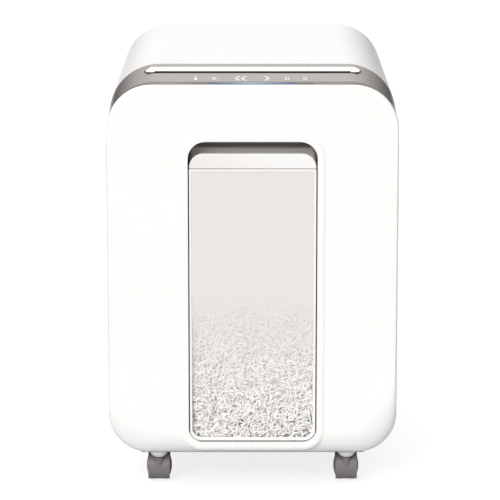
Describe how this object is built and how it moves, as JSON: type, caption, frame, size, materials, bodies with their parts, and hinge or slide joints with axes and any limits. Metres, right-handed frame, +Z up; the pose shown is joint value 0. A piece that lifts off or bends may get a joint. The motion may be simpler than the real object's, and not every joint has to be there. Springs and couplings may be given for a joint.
{
  "type": "paper shredder",
  "caption": "Upright office paper shredder: rounded white body on castors, silver control strip with a slanted paper slot, and a pull-out bin behind a windowed front panel.",
  "frame": {"origin": "on the floor, under the middle of the body's bounding box", "axes": "+X to the right as seen from the front, +Y to the rear, +Z up; the window and drawer face -Y"},
  "size_m": [0.36, 0.275, 0.5501],
  "materials": {
    "white_shell": "satin",
    "white_panel": "gloss",
    "white_trim": "gloss",
    "silver_strip": "metallic silver satin",
    "blue_light": "translucent",
    "icon_white": "printed",
    "black_plastic": "matte",
    "window_plastic": "frosted translucent",
    "shreds": "matte",
    "steel": "brushed",
    "brass": "satin",
    "gear_nylon": "matte",
    "motor_metal": "satin",
    "circuit_board": "matte",
    "caster_grey": "satin"
  },
  "bodies": {
    "cabinet": {"base_chassis": "white_shell", "casing_shell": "white_shell", "caster_sockets": "white_shell", "control_board": "circuit_board", "control_strip": "silver_strip", "cutter_plate_left": "steel", "cutter_plate_right": "steel", "cutter_tie_rods": "steel", "drawer_rails": "black_plastic", "drawer_sensor": "black_plastic", "gearbox_cover": "black_plastic", "head_tray": "black_plastic", "head_tray_screws": "steel", "idler_pins": "steel", "inlet_pins": "brass", "light_bar": "blue_light", "mains_inlet": "black_plastic", "motor_case": "motor_metal", "paper_throat": "white_trim", "power_board": "circuit_board", "rear_panel": "white_shell", "rear_panel_screws": "steel", "shaft_bushes": "brass", "stripper_comb_front": "black_plastic", "stripper_comb_rear": "black_plastic", "touch_icons": "icon_white"},
    "drawer": {"front_panel": "white_panel", "window_frame": "white_trim", "window_pane": "window_plastic", "grip_lip": "white_trim", "grip_cup": "white_trim", "bin_tub": "white_shell", "bin_runners": "black_plastic", "paper_shreds": "shreds", "sensor_magnet": "steel"},
    "front_cutter": {"cutter_shaft_front": "steel", "cutter_discs_front": "steel", "sync_gear_front": "steel"},
    "rear_cutter": {"cutter_shaft_rear": "steel", "cutter_discs_rear": "steel", "sync_gear_rear": "steel", "drive_gear": "gear_nylon"},
    "large_idler": {"idler_gear_large": "gear_nylon"},
    "small_idler": {"idler_gear_small": "gear_nylon"},
    "motor_rotor": {"motor_shaft": "steel", "motor_pinion": "brass"},
    "rocker": {"power_rocker": "black_plastic"},
    "caster_front_left_swivel": {"caster_front_left_fork": "caster_grey"},
    "caster_front_left_wheel_left": {"caster_front_left_wheel_left": "caster_grey"},
    "caster_front_left_wheel_right": {"caster_front_left_wheel_right": "caster_grey"},
    "caster_front_right_swivel": {"caster_front_right_fork": "caster_grey"},
    "caster_front_right_wheel_left": {"caster_front_right_wheel_left": "caster_grey"},
    "caster_front_right_wheel_right": {"caster_front_right_wheel_right": "caster_grey"},
    "caster_rear_left_swivel": {"caster_rear_left_fork": "caster_grey"},
    "caster_rear_left_wheel_left": {"caster_rear_left_wheel_left": "caster_grey"},
    "caster_rear_left_wheel_right": {"caster_rear_left_wheel_right": "caster_grey"},
    "caster_rear_right_swivel": {"caster_rear_right_fork": "caster_grey"},
    "caster_rear_right_wheel_left": {"caster_rear_right_wheel_left": "caster_grey"},
    "caster_rear_right_wheel_right": {"caster_rear_right_wheel_right": "caster_grey"}
  },
  "joints": [
    {"name": "drawer_slide", "type": "slide", "parent": "cabinet", "child": "drawer", "axis": [0, -1, 0], "range_m": [0, 0.22]},
    {"name": "rear_cutter_spin", "type": "hinge", "parent": "cabinet", "child": "rear_cutter", "pos_m": [0, -0.06004, 0.47819], "axis": [1, 0, 0], "continuous": true},
    {"name": "front_cutter_spin", "type": "hinge", "parent": "cabinet", "child": "front_cutter", "pos_m": [0, -0.08396, 0.46181], "axis": [1, 0, 0], "continuous": true},
    {"name": "large_idler_spin", "type": "hinge", "parent": "cabinet", "child": "large_idler", "pos_m": [0, -0.01867, 0.4709], "axis": [1, 0, 0], "continuous": true},
    {"name": "small_idler_spin", "type": "hinge", "parent": "cabinet", "child": "small_idler", "pos_m": [0, 0.0142, 0.47377], "axis": [1, 0, 0], "continuous": true},
    {"name": "motor_spin", "type": "hinge", "parent": "cabinet", "child": "motor_rotor", "pos_m": [0, 0.043, 0.47377], "axis": [1, 0, 0], "continuous": true},
    {"name": "power_rocker_tilt", "type": "hinge", "parent": "cabinet", "child": "rocker", "pos_m": [-0.06, 0.126, 0.47], "axis": [1, 0, 0], "range_deg": [0, 16]},
    {"name": "caster_front_left_swivel", "type": "hinge", "parent": "cabinet", "child": "caster_front_left_swivel", "pos_m": [-0.1183, -0.106, 0.03], "axis": [0, 0, 1], "continuous": true},
    {"name": "caster_front_left_wheel_left_roll", "type": "hinge", "parent": "caster_front_left_swivel", "child": "caster_front_left_wheel_left", "pos_m": [-0.1183, -0.09, 0.018], "axis": [1, 0, 0], "continuous": true},
    {"name": "caster_front_left_wheel_right_roll", "type": "hinge", "parent": "caster_front_left_swivel", "child": "caster_front_left_wheel_right", "pos_m": [-0.1183, -0.09, 0.018], "axis": [1, 0, 0], "continuous": true},
    {"name": "caster_front_right_swivel", "type": "hinge", "parent": "cabinet", "child": "caster_front_right_swivel", "pos_m": [0.1183, -0.106, 0.03], "axis": [0, 0, 1], "continuous": true},
    {"name": "caster_front_right_wheel_left_roll", "type": "hinge", "parent": "caster_front_right_swivel", "child": "caster_front_right_wheel_left", "pos_m": [0.1183, -0.09, 0.018], "axis": [1, 0, 0], "continuous": true},
    {"name": "caster_front_right_wheel_right_roll", "type": "hinge", "parent": "caster_front_right_swivel", "child": "caster_front_right_wheel_right", "pos_m": [0.1183, -0.09, 0.018], "axis": [1, 0, 0], "continuous": true},
    {"name": "caster_rear_left_swivel", "type": "hinge", "parent": "cabinet", "child": "caster_rear_left_swivel", "pos_m": [-0.1183, 0.098, 0.03], "axis": [0, 0, 1], "continuous": true},
    {"name": "caster_rear_left_wheel_left_roll", "type": "hinge", "parent": "caster_rear_left_swivel", "child": "caster_rear_left_wheel_left", "pos_m": [-0.1183, 0.114, 0.018], "axis": [1, 0, 0], "continuous": true},
    {"name": "caster_rear_left_wheel_right_roll", "type": "hinge", "parent": "caster_rear_left_swivel", "child": "caster_rear_left_wheel_right", "pos_m": [-0.1183, 0.114, 0.018], "axis": [1, 0, 0], "continuous": true},
    {"name": "caster_rear_right_swivel", "type": "hinge", "parent": "cabinet", "child": "caster_rear_right_swivel", "pos_m": [0.1183, 0.098, 0.03], "axis": [0, 0, 1], "continuous": true},
    {"name": "caster_rear_right_wheel_left_roll", "type": "hinge", "parent": "caster_rear_right_swivel", "child": "caster_rear_right_wheel_left", "pos_m": [0.1183, 0.114, 0.018], "axis": [1, 0, 0], "continuous": true},
    {"name": "caster_rear_right_wheel_right_roll", "type": "hinge", "parent": "caster_rear_right_swivel", "child": "caster_rear_right_wheel_right", "pos_m": [0.1183, 0.114, 0.018], "axis": [1, 0, 0], "continuous": true}
  ],
  "couplings": [
    {"joint": "front_cutter_spin", "follows": "rear_cutter_spin", "ratio": -1},
    {"joint": "large_idler_spin", "follows": "rear_cutter_spin", "ratio": -4},
    {"joint": "small_idler_spin", "follows": "rear_cutter_spin", "ratio": 16},
    {"joint": "motor_spin", "follows": "rear_cutter_spin", "ratio": -80}
  ]
}
